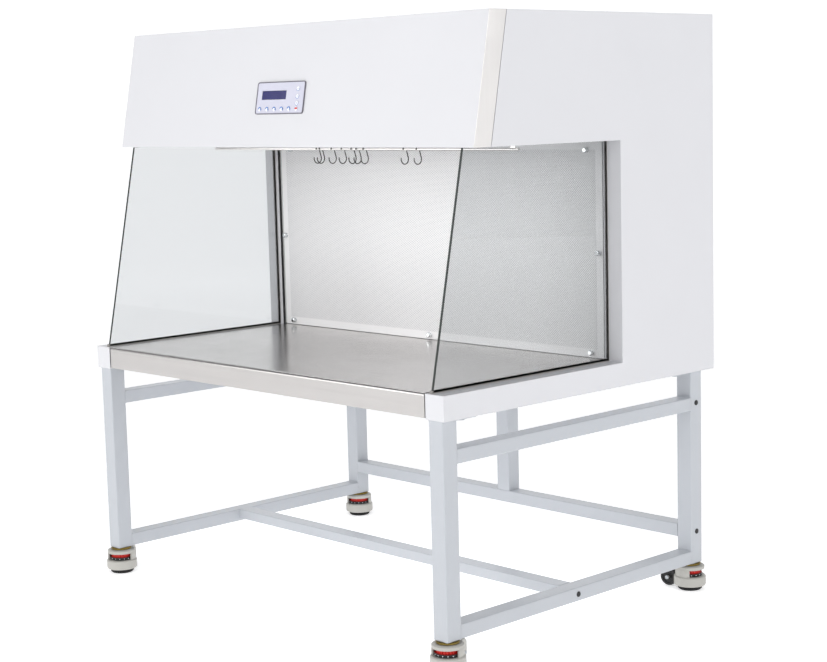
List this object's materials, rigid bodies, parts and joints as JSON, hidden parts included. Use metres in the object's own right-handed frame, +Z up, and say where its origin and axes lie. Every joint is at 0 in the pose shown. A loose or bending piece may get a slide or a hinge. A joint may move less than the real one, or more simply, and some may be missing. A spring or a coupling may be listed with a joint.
{
  "type": "laminar flow hood",
  "caption": "Horizontal laminar flow clean bench: sloped hood, perforated diffuser wall, glass sides and steel worktop on a tube stand with levelling casters.",
  "frame": {"origin": "on the floor, midway between the sides and midway between the front casters and the rear panel", "axes": "+X to the operator's right, +Y from the open front to the back, +Z up"},
  "size_m": [1.541, 1.1107, 1.64],
  "materials": {
    "powder_white": "satin powder coat",
    "frame_grey_white": "satin powder coat",
    "stainless": "brushed stainless",
    "glass_clear": "polished float glass",
    "diffuser_white": "satin perforated plate",
    "chrome": "polished",
    "seal_dark": "matte",
    "plug_black": "matte",
    "bolt_steel": "zinc plated",
    "zinc_yellow": "yellow zinc plated steel",
    "housing_ivory": "painted die casting",
    "wheel_black": "moulded nylon",
    "dial_red": "moulded",
    "pad_black": "matte",
    "aluminium": "mill finish",
    "filter_white": "glass fibre paper",
    "foam_grey": "foam",
    "galvanised": "galvanised sheet",
    "motor_black": "painted",
    "lamp_glass": "frosted tube",
    "board_green": "solder resist",
    "overlay_grey": "printed polyester",
    "display_blue": "backlit window"
  },
  "bodies": {
    "bench": {"leg_front_left": "frame_grey_white", "leg_front_right": "frame_grey_white", "leg_rear_left": "frame_grey_white", "leg_rear_right": "frame_grey_white", "side_rails_left": "frame_grey_white", "side_rails_right": "frame_grey_white", "lower_stretcher": "frame_grey_white", "rear_rail": "frame_grey_white", "rear_post": "frame_grey_white", "frame_plugs": "plug_black", "mounting_bolts": "bolt_steel", "caster_stems": "zinc_yellow", "side_panel_right": "powder_white", "side_panel_left": "powder_white", "hood_fascia": "powder_white", "trim_strips": "stainless", "base_pan": "powder_white", "worktop": "stainless", "hood_ceiling": "powder_white", "rear_panel": "powder_white", "top_panel": "powder_white", "intake_grille": "powder_white", "side_glass_right": "glass_clear", "side_glass_left": "glass_clear", "glass_seals": "seal_dark", "diffuser_plate": "diffuser_white", "diffuser_knobs": "chrome", "hook_rail": "stainless", "s_hooks": "chrome", "hepa_frame": "aluminium", "hepa_media": "filter_white", "hepa_gasket": "foam_grey", "plenum_deck": "galvanised", "blower_housing": "galvanised", "blower_motor": "motor_black", "intake_prefilter": "filter_white", "lamp_reflector": "aluminium", "lamp_tube": "lamp_glass", "uv_tube": "lamp_glass", "control_panel": "overlay_grey", "display": "display_blue", "control_board": "board_green", "power_inlet": "plug_black"},
    "fan_wheel": {"blower_impeller": "galvanised"},
    "swivel_front_left": {"caster_housing_front_left": "housing_ivory"},
    "roller_front_left": {"caster_wheel_front_left": "wheel_black"},
    "dial_front_left": {"caster_dial_front_left": "dial_red"},
    "pad_front_left": {"caster_pad_front_left": "pad_black"},
    "swivel_front_right": {"caster_housing_front_right": "housing_ivory"},
    "roller_front_right": {"caster_wheel_front_right": "wheel_black"},
    "dial_front_right": {"caster_dial_front_right": "dial_red"},
    "pad_front_right": {"caster_pad_front_right": "pad_black"},
    "swivel_rear_left": {"caster_housing_rear_left": "housing_ivory"},
    "roller_rear_left": {"caster_wheel_rear_left": "wheel_black"},
    "dial_rear_left": {"caster_dial_rear_left": "dial_red"},
    "pad_rear_left": {"caster_pad_rear_left": "pad_black"},
    "swivel_rear_right": {"caster_housing_rear_right": "housing_ivory"},
    "roller_rear_right": {"caster_wheel_rear_right": "wheel_black"},
    "dial_rear_right": {"caster_dial_rear_right": "dial_red"},
    "pad_rear_right": {"caster_pad_rear_right": "pad_black"}
  },
  "joints": [
    {"name": "fan_spin", "type": "hinge", "parent": "bench", "child": "fan_wheel", "pos_m": [0, 0.3535, 1.462], "axis": [1, 0, 0], "continuous": true},
    {"name": "swivel_front_left_turn", "type": "hinge", "parent": "bench", "child": "swivel_front_left", "pos_m": [-0.715, -0.5075, 0.06], "axis": [0, 0, 1], "continuous": true},
    {"name": "roller_front_left_spin", "type": "hinge", "parent": "swivel_front_left", "child": "roller_front_left", "pos_m": [-0.75171, -0.45507, 0.028], "axis": [0.8192, 0.5736, 0], "continuous": true},
    {"name": "dial_front_left_turn", "type": "hinge", "parent": "swivel_front_left", "child": "dial_front_left", "pos_m": [-0.715, -0.5075, 0.05], "axis": [0, 0, 1], "range_deg": [0, 1800]},
    {"name": "pad_front_left_lift", "type": "slide", "parent": "swivel_front_left", "child": "pad_front_left", "axis": [0, 0, 1], "range_m": [0, 0.01]},
    {"name": "swivel_front_right_turn", "type": "hinge", "parent": "bench", "child": "swivel_front_right", "pos_m": [0.715, -0.5075, 0.06], "axis": [0, 0, 1], "continuous": true},
    {"name": "roller_front_right_spin", "type": "hinge", "parent": "swivel_front_right", "child": "roller_front_right", "pos_m": [0.69206, -0.44775, 0.028], "axis": [0.9336, 0.3584, 0], "continuous": true},
    {"name": "dial_front_right_turn", "type": "hinge", "parent": "swivel_front_right", "child": "dial_front_right", "pos_m": [0.715, -0.5075, 0.05], "axis": [0, 0, 1], "range_deg": [0, 1800]},
    {"name": "pad_front_right_lift", "type": "slide", "parent": "swivel_front_right", "child": "pad_front_right", "axis": [0, 0, 1], "range_m": [0, 0.01]},
    {"name": "swivel_rear_left_turn", "type": "hinge", "parent": "bench", "child": "swivel_rear_left", "pos_m": [-0.715, 0.4825, 0.06], "axis": [0, 0, 1], "continuous": true},
    {"name": "roller_rear_left_spin", "type": "hinge", "parent": "swivel_rear_left", "child": "roller_rear_left", "pos_m": [-0.75614, 0.53153, 0.028], "axis": [0.766, 0.6428, 0], "continuous": true},
    {"name": "dial_rear_left_turn", "type": "hinge", "parent": "swivel_rear_left", "child": "dial_rear_left", "pos_m": [-0.715, 0.4825, 0.05], "axis": [0, 0, 1], "range_deg": [0, 1800]},
    {"name": "pad_rear_left_lift", "type": "slide", "parent": "swivel_rear_left", "child": "pad_rear_left", "axis": [0, 0, 1], "range_m": [0, 0.01]},
    {"name": "swivel_rear_right_turn", "type": "hinge", "parent": "bench", "child": "swivel_rear_right", "pos_m": [0.715, 0.4825, 0.06], "axis": [0, 0, 1], "continuous": true},
    {"name": "roller_rear_right_spin", "type": "hinge", "parent": "swivel_rear_right", "child": "roller_rear_right", "pos_m": [0.65218, 0.47029, 0.028], "axis": [-0.1908, 0.9816, 0], "continuous": true},
    {"name": "dial_rear_right_turn", "type": "hinge", "parent": "swivel_rear_right", "child": "dial_rear_right", "pos_m": [0.715, 0.4825, 0.05], "axis": [0, 0, 1], "range_deg": [0, 1800]},
    {"name": "pad_rear_right_lift", "type": "slide", "parent": "swivel_rear_right", "child": "pad_rear_right", "axis": [0, 0, 1], "range_m": [0, 0.01]}
  ],
  "couplings": [
    {"joint": "dial_front_left_turn", "follows": "pad_front_left_lift", "rad_per_m": 3141.6},
    {"joint": "dial_front_right_turn", "follows": "pad_front_right_lift", "rad_per_m": 3141.6},
    {"joint": "dial_rear_left_turn", "follows": "pad_rear_left_lift", "rad_per_m": 3141.6},
    {"joint": "dial_rear_right_turn", "follows": "pad_rear_right_lift", "rad_per_m": 3141.6}
  ]
}
